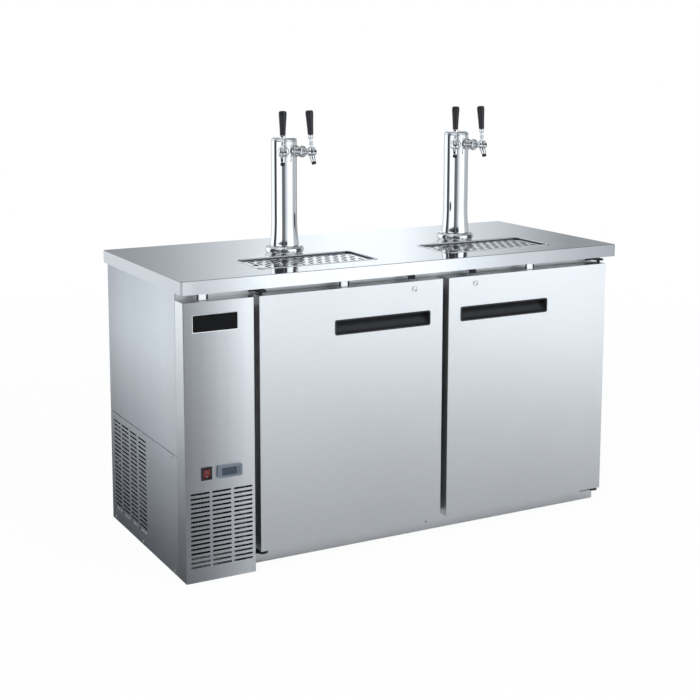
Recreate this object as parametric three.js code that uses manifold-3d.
// Direct-draw beer cooler: an insulated two-door keg cabinet with its compressor bay on the left,
// a folded stainless worktop with two recessed drip trays, and two chrome towers of two faucets.
// Millimetres. +X runs along the front to the right, +Y from the front to the back, +Z up.
// The origin is on the floor under the middle of the worktop.
import * as THREE from "three";
import { mergeVertices } from "three/addons/utils/BufferGeometryUtils.js";
import Module from "manifold-3d";

const wasm = await Module();
wasm.setup();

// ---------------------------------------------------------------- driving dimensions
const GAP = 0.3; // between neighbouring pieces
const SHEET = 2; // folded steel sheet
const CUT = 5; // how far a cutting tool passes the face that it cuts

const TOP = { width: 1549, depth: 676, height: 897, edge: 40 };
const BODY = { half: 764.5, front: -262, back: 326, base: 57, top: 856.7 };
const BAY = { right: -542.5, seam: 368 }; // the compressor bay lies left of this, seam in its side
const WALL = { thick: 60.5, back: 50, floor: 110, ceiling: 795 };
const MULLION = { left: 71, right: 161, depth: 50 };
const COVER = { right: -542.5, front: -324, top: 832 };
const DOOR = { front: -324, shellBack: -284, linerBack: -276, bottom: 57.7, top: 832.8 };
const GASKET = { inset: 18, width: 16 };
const HINGE = { inset: 14, y: -302, pin: 5, clear: 5.6, reach: 22, nose: 17 };
const HINGE_UPPER = { tongue: [842, 846], pin: [812, 844], foot: [837, 855] };
const HINGE_LOWER = { tongue: [47, 51], pin: [49, 78], foot: [30, 50] };
const LOCK = { radius: 9, z: 808.5, camLength: 34, camHalf: 5, camY: [-300, -297] };
const KEEPER = { half: 13, front: -306, thick: 3, arm: [846, 849], hook: [837, 847] };
const HANDLE = { width: 336, height: 47, z: 714, lip: 3, depth: 27 };
const TRAY = { width: 412, depth: 198, y: -145, corner: 22, rim: 6, bottom: 868, rimTop: 898.5 };
const PAN = { sheet: 1.5, ledge: 7, ledgeBottom: 883, drainX: 166, drainBottom: 845 };
const GRATE = { top: 892.5, thick: 2, slots: 13, pitch: 24.5, slotWidth: 9, slotLength: 68, finger: 9 };
const TOWER = { y: 16, radius: 41, wall: 2.5, top: 1255, flange: 62, flangeTop: 922 };
const FLARE = { radius: 46.5, middle: 43, middleZ: 955, top: 1010 }; // widening at the column's foot
const FAUCET = { z: 1223, angle: 28, reach: 106, collar: 18.5, collarEnd: 80 };
const LEVER = { pivot: 8, lean: 4, stem: 4.5, ferrule: 36, handle: 46, top: 122, wide: 12.5 };
const FACETS = { tower: 28, faucet: 14, bar: 18 }; // sides of the round pieces
const CONTROLS = { z: 326, switchX: -698, controllerX: -626.5 };
const CONDENSER = { x: -652, z: 150, width: 185, height: 240, front: -240, depth: 50 };
const COMPRESSOR = { y: 170, plate: [10, 15], footX: 76, footY: 54 };
const EVAPORATOR = { y: [-150, 230], z: [440, 770], depth: 82, fanY: 40, fanZ: 640, mouth: 74 };
const INLET = { x: -652, z: 90, width: 48, height: 28 };

// Louvre slots: columns are [from, to] pairs, rows start at first and repeat at pitch.
const SIDE_SLOTS = {
  columns: [[0, 68], [83, 143], [157, 222], [234, 296]],
  rows: 22,
  first: 47,
  pitch: 14,
  height: 6,
};
const FRONT_SLOTS = {
  columns: [[-749.5, -688.5], [-681.5, -620.5], [-612.5, -552.5]],
  rows: 17,
  first: 48,
  pitch: 13.75,
  height: 6,
};
const REAR_SLOTS = {
  columns: [[-742, -662], [-642, -562]],
  rows: 14,
  first: 180,
  pitch: 16,
  height: 6,
};
const COIL_SLOTS = { columns: [[-110, 20], [60, 190]], rows: 5, first: 470, pitch: 16, height: 7 };

const DOORS = [
  { side: "left", x: [-525.4, 104.6], lockX: 1.5, handleX: -108.5, hinge: "left" },
  { side: "right", x: [127.4, 747.1], lockX: 227.5, handleX: 340, hinge: "right" },
];
const TAPS = [
  { side: "left", towerX: -278.5, turn: 0, trayX: -281 },
  { side: "right", towerX: 369.5, turn: -7, trayX: 377 },
];

// ---------------------------------------------------------------- materials
const finish = (color, roughness, metalness) =>
  new THREE.MeshStandardMaterial({ color, roughness, metalness });
const STEEL = finish(0xd5d9dc, 0.34, 0.9);
const GALVANISED = finish(0xa9aeb1, 0.5, 0.8);
const LINER = finish(0xdfe3e4, 0.45, 0.0);
const CHROME = finish(0xe8ebee, 0.08, 1.0);
const BLACK_PLASTIC = finish(0x1c1c1f, 0.45, 0.0);
const RUBBER = finish(0x2b2b2d, 0.8, 0.0);
const RED_PLASTIC = finish(0xb3262b, 0.3, 0.0);
const GREY_PLASTIC = finish(0x9aa1aa, 0.4, 0.1);
const BLACK_PAINT = finish(0x1b1d1f, 0.5, 0.3);
const FIN = finish(0xb9bec2, 0.45, 0.9);

// ---------------------------------------------------------------- geometry helpers
const middle = ([a, b]) => (a + b) / 2;
const radians = THREE.MathUtils.degToRad;
const about = (centre, half) => [centre - half, centre + half];

function block(x, y, z) {
  return new THREE.BoxGeometry(x[1] - x[0], y[1] - y[0], z[1] - z[0]).translate(
    middle(x),
    middle(y),
    middle(z),
  );
}

// A round bar whose ends lie at the two values of span, along the named axis through the point.
function rod(axis, radius, [from, to], [a, b], segments = FACETS.bar) {
  const bar = new THREE.CylinderGeometry(radius, radius, to - from, segments);
  const along = (from + to) / 2;
  if (axis === "x") return bar.rotateZ(-Math.PI / 2).translate(along, a, b);
  if (axis === "y") return bar.translate(a, along, b);
  return bar.rotateX(Math.PI / 2).translate(a, b, along);
}

// A turned piece: profile points are [radius, height] from the bottom up, and the axis is Z.
function turned(profile, segments) {
  const points = profile.map(([r, z]) => new THREE.Vector2(r, z));
  return new THREE.LatheGeometry(points, segments).rotateX(Math.PI / 2);
}

function outline(points) {
  return new THREE.Shape(points.map(([x, y]) => new THREE.Vector2(x, y)));
}

function roundedRectangle(width, depth, radius) {
  const [w, d] = [width / 2, depth / 2];
  const shape = new THREE.Shape();
  shape.absarc(w - radius, d - radius, radius, 0, Math.PI / 2);
  shape.absarc(radius - w, d - radius, radius, Math.PI / 2, Math.PI);
  shape.absarc(radius - w, radius - d, radius, Math.PI, Math.PI * 1.5);
  shape.absarc(w - radius, radius - d, radius, Math.PI * 1.5, Math.PI * 2);
  return shape;
}

// Shapes pushed up along Z between two heights.
function raised(shapes, [low, high], curveSegments = 3) {
  const settings = { depth: high - low, bevelEnabled: false, curveSegments };
  return new THREE.ExtrudeGeometry(shapes, settings).translate(0, 0, low);
}

// A profile drawn as [y, z] points and pushed along X.
function swept(points, [left, right]) {
  return raised(outline(points), [left, right]).rotateX(Math.PI / 2).rotateZ(Math.PI / 2);
}

function solidOf(geometry) {
  const loose = geometry.index ? geometry.toNonIndexed() : geometry;
  const bare = new THREE.BufferGeometry().setAttribute("position", loose.getAttribute("position"));
  const merged = mergeVertices(bare, 1e-3);
  const mesh = new wasm.Mesh({
    numProp: 3,
    vertProperties: merged.getAttribute("position").array,
    triVerts: new Uint32Array(merged.index.array),
  });
  return new wasm.Manifold(mesh);
}

function geometryOf(solid) {
  const { vertProperties, triVerts } = solid.getMesh();
  const shared = new THREE.BufferGeometry();
  shared.setAttribute("position", new THREE.BufferAttribute(vertProperties, 3));
  shared.setIndex(new THREE.BufferAttribute(triVerts, 1));
  const flat = shared.toNonIndexed();
  flat.computeVertexNormals();
  return flat;
}

function cut(body, ...tools) {
  return geometryOf(tools.reduce((left, tool) => left.subtract(solidOf(tool)), solidOf(body)));
}

function join(first, ...others) {
  return geometryOf(others.reduce((sum, other) => sum.add(solidOf(other)), solidOf(first)));
}

const cooler = new THREE.Group();

function part(name, geometry, material, parent = cooler) {
  const mesh = new THREE.Mesh(geometry, material);
  mesh.name = name;
  parent.add(mesh);
  return mesh;
}

// The slots of one grid, as shapes in a plane.
function slotGrid({ columns, rows, first, pitch, height }) {
  const shapes = [];
  for (const [from, to] of columns) {
    for (let row = 0; row < rows; row += 1) {
      const z = first + row * pitch;
      const [low, high] = [z - height / 2, z + height / 2];
      shapes.push(outline([[from, low], [to, low], [to, high], [from, high]]));
    }
  }
  return shapes;
}

// Shapes drawn in x and z, pushed along Y between two values.
const throughFront = (shapes, [near, far]) =>
  raised(shapes, [-far, -near]).rotateX(Math.PI / 2);
// Shapes drawn in y and z, pushed along X between two values.
const throughSide = (shapes, span) =>
  raised(shapes, span).rotateX(Math.PI / 2).rotateZ(Math.PI / 2);

// ---------------------------------------------------------------- base and insulated cabinet
const SKIN = BODY.half - SHEET - GAP; // everything inside the side panels
const BACK_WALL = [BODY.back - SHEET - GAP - WALL.back, BODY.back - SHEET - GAP];
const RIGHT_WALL = [SKIN - WALL.thick + SHEET, SKIN];
const BULKHEAD = [BAY.right, BAY.right + WALL.thick];
const ROOM_Z = [WALL.floor + GAP, WALL.ceiling - GAP];
const HEADER = 4; // thickness of the strip across the top of the front
const DUCT = 30; // half the width of the duct for the beer lines

function basePan() {
  const outside = block([-SKIN, SKIN], [BODY.front, BACK_WALL[1]], [0, BODY.base]);
  const inside = block(
    [SHEET - SKIN, SKIN - SHEET],
    [BODY.front + SHEET, BACK_WALL[1] - SHEET],
    [SHEET, BODY.base + CUT],
  );
  return cut(outside, inside);
}

// Slab up to the worktop, with a square duct under each tower and a bay for each drip tray.
function ceilingSlab() {
  const top = TOP.height - SHEET - GAP;
  const front = BODY.front + HEADER + GAP;
  const slab = block([BAY.right, SKIN], [front, BACK_WALL[1]], [WALL.ceiling, top]);
  const tools = TAPS.flatMap(({ towerX, trayX }) => [
    block(about(towerX, DUCT), about(TOWER.y, DUCT), [WALL.ceiling - CUT, top + CUT]),
    block(
      about(trayX, TRAY.width / 2 - 2),
      [front - CUT, TRAY.y + TRAY.depth / 2 - 2],
      [PAN.drainBottom - 3, top + CUT],
    ),
  ]);
  return cut(slab, ...tools);
}

part("base_pan", basePan(), GALVANISED);
part(
  "cabinet_floor",
  block([BAY.right, SKIN], [BODY.front, BACK_WALL[1]], [BODY.base + GAP, WALL.floor]),
  LINER,
);
part("cabinet_bulkhead", block(BULKHEAD, [BODY.front, BACK_WALL[1]], ROOM_Z), LINER);
part("cabinet_right_wall", block(RIGHT_WALL, [BODY.front, BACK_WALL[1]], ROOM_Z), LINER);
part(
  "cabinet_back_wall",
  block([BULKHEAD[1] + GAP, RIGHT_WALL[0] - GAP], BACK_WALL, ROOM_Z),
  LINER,
);
part("cabinet_ceiling", ceilingSlab(), LINER);
part(
  "centre_mullion",
  block([MULLION.left, MULLION.right], [BODY.front, BODY.front + MULLION.depth], ROOM_Z),
  STEEL,
);

// Strip across the top of the front, with a hooked keeper above each lock.
function frontHeader() {
  const { half, front, thick, arm, hook } = KEEPER;
  const strip = block([-SKIN, SKIN], [BODY.front, BODY.front + HEADER], [WALL.ceiling, BODY.top]);
  const keepers = DOORS.flatMap(({ lockX }) => [
    block(about(lockX, half), [front, BODY.front + 1], arm),
    block(about(lockX, half), [front, front + thick], hook),
  ]);
  return join(strip, ...keepers);
}

// ---------------------------------------------------------------- outer panels
const PANEL_FOOT = 1; // the outer panels stop this far above the floor

function lowerSidePanel() {
  const sheet = block(
    [-BODY.half, SHEET - BODY.half],
    [BODY.front, BODY.back],
    [PANEL_FOOT, BAY.seam - GAP],
  );
  return cut(sheet, throughSide(slotGrid(SIDE_SLOTS), [-BODY.half - CUT, CUT - BODY.half]));
}

function backPanel() {
  const { x, z, width, height } = INLET;
  const sheet = block([-SKIN, SKIN], [BODY.back - SHEET, BODY.back], [PANEL_FOOT, BODY.top]);
  const behind = [BODY.back - CUT, BODY.back + CUT];
  const inlet = block(about(x, width / 2 - 2), behind, about(z, height / 2 - 1.5));
  return cut(sheet, throughFront(slotGrid(REAR_SLOTS), behind), inlet);
}

function frontCover() {
  const { right, front, top } = COVER;
  const back = BODY.front - GAP;
  const outside = block([-BODY.half, right], [front, back], [PANEL_FOOT, top]);
  const inside = block(
    [SHEET - BODY.half, right - SHEET],
    [front + SHEET, back + CUT],
    [PANEL_FOOT + SHEET, top - SHEET],
  );
  const face = [front - CUT, front + CUT];
  return cut(
    outside,
    inside,
    throughFront(slotGrid(FRONT_SLOTS), face),
    block(about(CONTROLS.switchX, 14), face, about(CONTROLS.z, 17)),
    block(about(CONTROLS.controllerX, 35.5), face, about(CONTROLS.z, 14.5)),
  );
}

part(
  "upper_side_panel",
  block([-BODY.half, SHEET - BODY.half], [BODY.front, BODY.back], [BAY.seam + GAP, BODY.top]),
  STEEL,
);
part("lower_side_panel", lowerSidePanel(), STEEL);
part(
  "right_side_panel",
  block([BODY.half - SHEET, BODY.half], [BODY.front, BODY.back], [PANEL_FOOT, BODY.top]),
  STEEL,
);
part("back_panel", backPanel(), GALVANISED);
part("front_cover", frontCover(), STEEL);

// ---------------------------------------------------------------- worktop and drip trays
const trayShape = (inset) =>
  roundedRectangle(TRAY.width - 2 * inset, TRAY.depth - 2 * inset, TRAY.corner - inset / 2);

function worktop() {
  const { width, depth, height, edge } = TOP;
  const outside = block(about(0, width / 2), about(0, depth / 2), [height - edge, height]);
  const inside = block(
    about(0, width / 2 - SHEET),
    about(0, depth / 2 - SHEET),
    [height - edge - CUT, height - SHEET],
  );
  const through = [height - SHEET - CUT, height + CUT];
  const holes = TAPS.flatMap(({ towerX, trayX }) => [
    raised(trayShape(TRAY.rim - 2), through).translate(trayX, TRAY.y, 0),
    rod("z", TOWER.radius - 8, through, [towerX, TOWER.y]),
  ]);
  return cut(outside, inside, ...holes);
}

// Tub with a flat rim on the worktop, a ledge inside for the grate, and a drain at its right end.
function dripPan(x) {
  const { sheet, ledge, ledgeBottom, drainX, drainBottom } = PAN;
  const { rim, bottom, rimTop } = TRAY;
  const rimLow = TOP.height + GAP;
  const ledgeTop = GRATE.top - GRATE.thick - GAP;
  const shell = join(
    raised(trayShape(0), [rimLow, rimTop]),
    raised(trayShape(rim), [bottom, rimLow + 1]),
    rod("z", 10, [drainBottom, bottom + 1], [drainX, 0], 16),
  );
  return cut(
    shell,
    raised(trayShape(rim + sheet), [bottom + sheet, ledgeBottom]),
    raised(trayShape(rim + ledge), [ledgeBottom - 1, ledgeTop + 1]),
    raised(trayShape(rim + sheet), [ledgeTop, rimTop + CUT]),
    rod("z", 7, [drainBottom - CUT, bottom + CUT], [drainX, 0], 16),
  ).translate(x, TRAY.y, 0);
}

function dripGrate(x) {
  const { top, thick, slots, pitch, slotWidth, slotLength, finger } = GRATE;
  const plate = raised(trayShape(TRAY.rim + 3), [top - thick, top]);
  const through = [top - thick - CUT, top + CUT];
  const openings = [];
  for (let column = 0; column < slots; column += 1) {
    const left = 50 - TRAY.width / 2 + column * pitch;
    const right = left + slotWidth;
    for (const low of [-4 - slotLength, 4]) {
      const high = low + slotLength;
      openings.push(outline([[left, low], [right, low], [right, high], [left, high]]));
    }
  }
  const fingerHole = rod("z", finger, through, [30 - TRAY.width / 2, 0], 16);
  return cut(plate, raised(openings, through), fingerHole).translate(x, TRAY.y, 0);
}

part("worktop", worktop(), STEEL);
for (const { side, trayX } of TAPS) {
  part(`drip_pan_${side}`, dripPan(trayX), STEEL);
  part(`drip_grate_${side}`, dripGrate(trayX), STEEL);
}

// ---------------------------------------------------------------- towers and faucets
const TOWER_FOOT = TOP.height + GAP;

function towerFlange() {
  const bore = TOWER.radius + GAP + 0.1;
  const [rim, top] = [TOWER.flange, TOWER.flangeTop];
  return turned([
    [bore, TOWER_FOOT],
    [rim - 1, TOWER_FOOT],
    [rim, TOWER_FOOT + 4],
    [rim, TOWER_FOOT + 12],
    [rim - 3, TOWER_FOOT + 18],
    [rim - 9, top - 1.5],
    [bore + 3, top],
    [bore, top - 0.8],
    [bore, TOWER_FOOT],
  ], FACETS.tower);
}

function towerColumn() {
  const { radius, wall, top } = TOWER;
  const tube = turned([
    [radius - wall, TOWER_FOOT],
    [radius, TOWER_FOOT],
    [radius, TOWER.flangeTop + GAP],
    [FLARE.radius, TOWER.flangeTop + GAP],
    [FLARE.middle, FLARE.middleZ],
    [radius, FLARE.top],
    [radius, top],
    [radius - wall, top],
    [radius - wall, TOWER_FOOT],
  ], FACETS.tower);
  const shankHoles = [-1, 1].map((sign) =>
    rod("x", 11.6, [radius - 12, radius + 12], [0, FAUCET.z]).rotateZ(faucetTurn(sign)),
  );
  return cut(tube, ...shankHoles);
}

function towerCap() {
  const { radius, wall, top } = TOWER;
  const skirt = radius - wall - GAP - 0.1;
  return turned([
    [0, top + 5],
    [skirt - 2, top + 5],
    [skirt - 2, top - 14],
    [skirt, top - 14],
    [skirt, top + GAP],
    [radius, top + GAP],
    [radius, top + 4],
    [radius - 3, top + 8],
    [radius - 18, top + 11],
    [0, top + 11.5],
  ], FACETS.tower);
}

// Turns the local +X axis to a faucet's outward direction: sign -1 is the left one.
function faucetTurn(sign) {
  return radians(sign * FAUCET.angle - 90);
}

// The pieces below are drawn about the faucet's own axis, +X outwards, at the shank's height.
const onShank = (profile, segments) => turned(profile, segments).rotateY(Math.PI / 2);

function faucetShank() {
  const { collar, collarEnd } = FAUCET;
  const face = TOWER.radius + 0.5;
  return onShank([
    [0, 29],
    [11, 29],
    [11, face],
    [collar - 1, face],
    [collar, face + 1.5],
    [collar, face + 8],
    [collar - 2.5, face + 10],
    [collar - 2.5, collarEnd - 14],
    [collar - 1, collarEnd - 12],
    [collar - 1, collarEnd - 4],
    [collar - 6, collarEnd],
    [0, collarEnd],
  ], FACETS.faucet);
}

function faucetBody() {
  const { reach, collarEnd } = FAUCET;
  const barrel = onShank([
    [0, collarEnd + GAP],
    [12, collarEnd + GAP],
    [10, collarEnd + 6],
    [9, collarEnd + 11],
    [12, reach - 9],
    [14.5, reach - 2],
    [14.5, reach + 5],
    [11, reach + 13],
    [6, reach + 17],
    [0, reach + 18],
  ], FACETS.faucet);
  const bonnet = rod("z", 12, [2, LEVER.pivot + 8], [reach, 0], FACETS.faucet);
  const slope = Math.atan2(14, 38);
  const spout = turned([[0, -40], [7.2, -40], [8.6, -24], [8.6, 0], [0, 0]], 12)
    .rotateY(-slope)
    .translate(reach - 3, 0, 0);
  const outlet = rod("z", 5, [-46, -26], [0, 0], 8).rotateY(-slope).translate(reach - 3, 0, 0);
  const slot = block([reach - 7, reach + 30], about(0, 6.8), [LEVER.pivot - 7, 40]);
  return cut(join(barrel, bonnet, spout), slot, outlet);
}

// The lever stands on its pivot, which is the origin of this piece, and leans back to the column.
function faucetLever() {
  const { stem, ferrule, handle, top, wide } = LEVER;
  return turned([
    [0, -6],
    [4.2, -4.2],
    [6, 0],
    [stem, 4.5],
    [stem, ferrule],
    [8.5, ferrule + 1],
    [8.5, handle - 1],
    [wide - 3.7, handle],
    [wide - 2, (handle + top) / 2],
    [wide, top - 5],
    [wide - 1.5, top - 1],
    [wide - 5, top],
    [0, top],
  ], FACETS.faucet);
}

for (const { side, towerX, turn } of TAPS) {
  const tower = new THREE.Group();
  tower.position.set(towerX, TOWER.y, 0);
  tower.rotation.z = radians(turn);
  cooler.add(tower);
  part(`tower_flange_${side}`, towerFlange(), CHROME, tower);
  part(`tower_column_${side}`, towerColumn(), CHROME, tower);
  part(`tower_cap_${side}`, towerCap(), CHROME, tower);
  for (const [place, sign] of [["a", -1], ["b", 1]]) {
    const faucet = new THREE.Group();
    faucet.position.z = FAUCET.z;
    faucet.rotation.z = faucetTurn(sign);
    tower.add(faucet);
    const name = `${side}_${place}`;
    part(`faucet_shank_${name}`, faucetShank(), CHROME, faucet);
    part(`faucet_body_${name}`, faucetBody(), CHROME, faucet);
    const lever = part(`faucet_lever_${name}`, faucetLever(), BLACK_PLASTIC, faucet);
    lever.position.set(FAUCET.reach, 0, LEVER.pivot);
    lever.rotation.y = -radians(LEVER.lean);
  }
}

// ---------------------------------------------------------------- doors, hinges and locks
const DOOR_Z = [DOOR.bottom, DOOR.top];

const hingeX = ({ x, hinge }) => (hinge === "left" ? x[0] + HINGE.inset : x[1] - HINGE.inset);

function doorShell(door) {
  const [x0, x1] = door.x;
  const { front, shellBack } = DOOR;
  const outside = block(door.x, [front, shellBack], DOOR_Z);
  const inside = block(
    [x0 + SHEET, x1 - SHEET],
    [front + SHEET, shellBack + CUT],
    [DOOR.bottom + SHEET, DOOR.top - SHEET],
  );
  const faces = [front - CUT, front + CUT];
  const gripWindow = block(
    about(door.handleX, HANDLE.width / 2 - HANDLE.lip + GAP),
    faces,
    about(HANDLE.z, HANDLE.height / 2 - HANDLE.lip + GAP),
  );
  const camSweep = block(
    [door.lockX - LOCK.camHalf - 3, door.lockX + LOCK.camLength - 4],
    [LOCK.camY[0] - 3, LOCK.camY[1] + 3],
    [DOOR.top - CUT, DOOR.top + CUT],
  );
  return cut(
    outside,
    inside,
    gripWindow,
    camSweep,
    rod("y", LOCK.radius - 1, faces, [door.lockX, LOCK.z]),
    rod("z", HINGE.clear, [DOOR.bottom - CUT, DOOR.top + CUT], [hingeX(door), HINGE.y], 20),
  );
}

function doorLiner({ x }) {
  const plate = block(x, [DOOR.shellBack + GAP, DOOR.linerBack], DOOR_Z);
  const dish = block(
    [x[0] + 60, x[1] - 60],
    [DOOR.linerBack - 5, DOOR.linerBack + CUT],
    [DOOR.bottom + 60, DOOR.top - 60],
  );
  return cut(plate, dish);
}

function doorGasket({ x }) {
  const frame = (inset, y) =>
    block(
      [x[0] + inset, x[1] - inset],
      y,
      [DOOR.bottom + inset, DOOR.top - inset],
    );
  const span = [DOOR.linerBack + GAP, BODY.front - GAP];
  const opening = [span[0] - CUT, span[1] + CUT];
  return cut(frame(GASKET.inset, span), frame(GASKET.inset + GASKET.width, opening));
}

// Recessed grip: a thin rim on the door's face and a wedge pocket, deepest along its top.
function doorHandle({ handleX }) {
  const { width, height, z, lip, depth } = HANDLE;
  const front = DOOR.front - GAP;
  const rim = block(about(handleX, width / 2), [front - 1.7, front], about(z, height / 2));
  const [low, high] = about(z, height / 2 - lip);
  const wedge = swept(
    [
      [front - 1, low],
      [front + depth, high - 10],
      [front + depth, high],
      [front - 1, high],
    ],
    about(handleX, width / 2 - lip),
  );
  const hollow = swept(
    [
      [front - CUT, low + 2],
      [front + 0.5, low + 2],
      [front + depth - 2, high - 9],
      [front + depth - 2, high - 2],
      [front - CUT, high - 2],
    ],
    about(handleX, width / 2 - lip - 2),
  );
  return cut(join(rim, wedge), hollow);
}

// Key cylinder with its cam, which lies across the door at rest.
function doorLock({ lockX }) {
  const face = DOOR.front - GAP;
  const rose = rod("y", LOCK.radius, [face - 2.2, face], [lockX, LOCK.z]);
  const barrel = rod("y", LOCK.radius - 1.6, [face - 1, LOCK.camY[1]], [lockX, LOCK.z]);
  const cam = block([lockX, lockX + LOCK.camLength], LOCK.camY, about(LOCK.z, LOCK.camHalf));
  return join(rose, barrel, cam);
}

// Foot on the cabinet's face, tongue out over the door's end, and the pin that the door turns on.
function hingeBracket(door, { tongue, pin, foot }) {
  const x = hingeX(door);
  const back = BODY.front - GAP;
  return join(
    block(about(x, HINGE.nose), [HINGE.y, back - 1], tongue),
    rod("z", HINGE.nose, tongue, [x, HINGE.y]),
    block(about(x, HINGE.reach), [back - 3.5, back], foot),
    rod("z", HINGE.pin, pin, [x, HINGE.y]),
  );
}

part("front_header", frontHeader(), STEEL);
for (const door of DOORS) {
  part(`${door.side}_door_shell`, doorShell(door), STEEL);
  part(`${door.side}_door_liner`, doorLiner(door), LINER);
  part(`${door.side}_door_gasket`, doorGasket(door), RUBBER);
  part(`${door.side}_door_handle`, doorHandle(door), BLACK_PLASTIC);
  part(`${door.side}_door_lock`, doorLock(door), CHROME);
  part(`${door.side}_upper_hinge`, hingeBracket(door, HINGE_UPPER), BLACK_PAINT);
  part(`${door.side}_lower_hinge`, hingeBracket(door, HINGE_LOWER), BLACK_PAINT);
}

// ---------------------------------------------------------------- controls on the front cover
function switchBezel() {
  const face = COVER.front - GAP;
  const frame = block(about(0, 17), [face - 2.2, face], about(0, 19.5));
  const housing = block(about(0, 13.5), [face - 1, face + 26], about(0, 16.5));
  const well = block(about(0, 11), [face - CUT, face + 22], about(0, 14.6));
  return cut(join(frame, housing), well);
}

// The rocker turns about X through its own origin, and one half of its face stands proud at rest.
function switchRocker() {
  const face = [[-8.5, -13], [-11, 0], [-8.5, 13], [0, 13], [3, 3], [3, -3], [0, -13]];
  return swept(face, about(0, 10.2));
}

function temperatureController() {
  const face = COVER.front - GAP;
  const bezel = raised(roundedRectangle(77, 36, 5), [0, 8]).rotateX(Math.PI / 2);
  const housing = block(about(0, 35), [-1, 50], about(0, 14));
  const display = block(about(-2, 24), [-8 - CUT, -8 + 1.2], about(0, 11.5));
  return cut(join(bezel, housing), display).translate(0, face, 0);
}

const ROCKER_Y = COVER.front + 7;
part("switch_bezel", switchBezel(), BLACK_PLASTIC).position.set(CONTROLS.switchX, 0, CONTROLS.z);
const rocker = part("switch_rocker", switchRocker(), RED_PLASTIC);
rocker.position.set(CONTROLS.switchX, ROCKER_Y, CONTROLS.z);
rocker.rotation.x = radians(8);
part("temperature_controller", temperatureController(), GREY_PLASTIC).position.set(
  CONTROLS.controllerX,
  0,
  CONTROLS.z,
);

// ---------------------------------------------------------------- refrigeration
// Blades round the Y axis, each tilted about its own span, on a hub with a blind bore at its back.
function fan(radius, hub, depth, blades, bore) {
  const boss = rod("y", hub, [-depth / 2, depth / 2], [0, 0], 16);
  const vanes = Array.from({ length: blades }, (_, i) =>
    block(about(0, hub * 0.95), about(0, 1), [hub * 0.8, radius])
      .rotateZ(radians(28))
      .rotateY((i * 2 * Math.PI) / blades),
  );
  const hole = rod("y", bore, [-depth / 2 + 4, depth / 2 + CUT], [0, 0], 10);
  return cut(join(boss, ...vanes), hole);
}

// Comb of upright fins on a common back sheet.
function condenserCoil() {
  const { x, z, width, height, front, depth } = CONDENSER;
  const back = front + depth;
  const fins = 19;
  const pitch = width / (fins - 0.5);
  const points = [[-width / 2, back], [-width / 2, front]];
  for (let fin = 0; fin < fins; fin += 1) {
    const left = -width / 2 + fin * pitch;
    if (fin > 0) points.push([left, back - 5], [left, front]);
    points.push([left + pitch / 2, front]);
    if (fin < fins - 1) points.push([left + pitch / 2, back - 5]);
  }
  points.push([width / 2, back]);
  return raised(outline(points), about(z, height / 2)).translate(x, 0, 0);
}

function condenserMotor() {
  const { x, z, width, front, depth } = CONDENSER;
  const back = front + depth + GAP;
  const bar = block(about(x, width / 2), [back + 66, back + 70], about(z, 12));
  const legs = [-1, 1].map((sign) => {
    const side = x + sign * (width / 2 - 1.5);
    return block(about(side, 1.5), [back, back + 68], about(z, 12));
  });
  const motor = rod("y", 38, [back + 42, back + 96], [x, z]);
  const shaft = rod("y", 4, [back + 17, back + 44], [x, z], 16);
  return join(bar, ...legs, motor, shaft);
}

function compressor() {
  const dome = turned([
    [0, 14],
    [62, 14],
    [72, 24],
    [74, 70],
    [76, 74],
    [76, 80],
    [72, 84],
    [70, 140],
    [56, 172],
    [30, 184],
    [0, 187],
  ], 20);
  const { y, plate, footX, footY } = COMPRESSOR;
  const base = block(about(0, footX + 16), about(0, footY + 16), plate);
  const feet = [-1, 1].flatMap((sx) =>
    [-1, 1].map((sy) =>
      rod("z", 12, [SHEET + GAP, plate[0] + 1], [sx * footX, sy * footY], 12),
    ),
  );
  return join(dome, base, ...feet).translate(CONDENSER.x, y, 0);
}

function powerInlet() {
  const face = BODY.back + GAP;
  const flange = block(about(0, INLET.width / 2 + 2), [face, face + 3], about(0, 16));
  const shroud = block(about(0, INLET.width / 2 - 3), [face - 24, face + 2], about(0, 11.5));
  const well = block(about(0, 14), [face - 16, face + CUT], about(0, 8.5));
  return cut(join(flange, shroud), well).translate(INLET.x, 0, INLET.z);
}

// Box on the bulkhead, open towards it, with a round fan mouth and a motor on a bar behind that.
function evaporatorCover() {
  const { y, z, depth, fanY, fanZ, mouth } = EVAPORATOR;
  const left = BULKHEAD[1] + GAP;
  const right = left + depth;
  const outside = block([left, right], y, z);
  const inside = block(
    [left - CUT, right - SHEET],
    [y[0] + SHEET, y[1] - SHEET],
    [z[0] + SHEET, z[1] - SHEET],
  );
  const opening = rod("x", mouth, [right - CUT, right + CUT], [fanY, fanZ], 24);
  const grille = throughSide(slotGrid(COIL_SLOTS), [right - CUT, right + CUT]);
  const bar = block([left + 20, left + 26], y, about(fanZ, 9));
  const motor = rod("x", 26, [left + 24, left + 48], [fanY, fanZ]);
  const shaft = rod("x", 4, [left + 46, left + 66], [fanY, fanZ], 16);
  return join(cut(outside, inside, opening, grille), bar, motor, shaft);
}

part("condenser_coil", condenserCoil(), FIN);
part("condenser_fan_motor", condenserMotor(), BLACK_PAINT);
part("condenser_fan", fan(82, 20, 20, 5, 4.3), BLACK_PLASTIC).position.set(
  CONDENSER.x,
  CONDENSER.front + CONDENSER.depth + 22,
  CONDENSER.z,
);
part("compressor", compressor(), BLACK_PAINT);
part("power_inlet", powerInlet(), BLACK_PLASTIC);
part("evaporator_cover", evaporatorCover(), LINER);
const evaporatorFan = part("evaporator_fan", fan(68, 17, 16, 5, 4.3), BLACK_PLASTIC);
evaporatorFan.position.set(BULKHEAD[1] + GAP + 66, EVAPORATOR.fanY, EVAPORATOR.fanZ);
evaporatorFan.rotation.z = Math.PI / 2;

export default cooler;
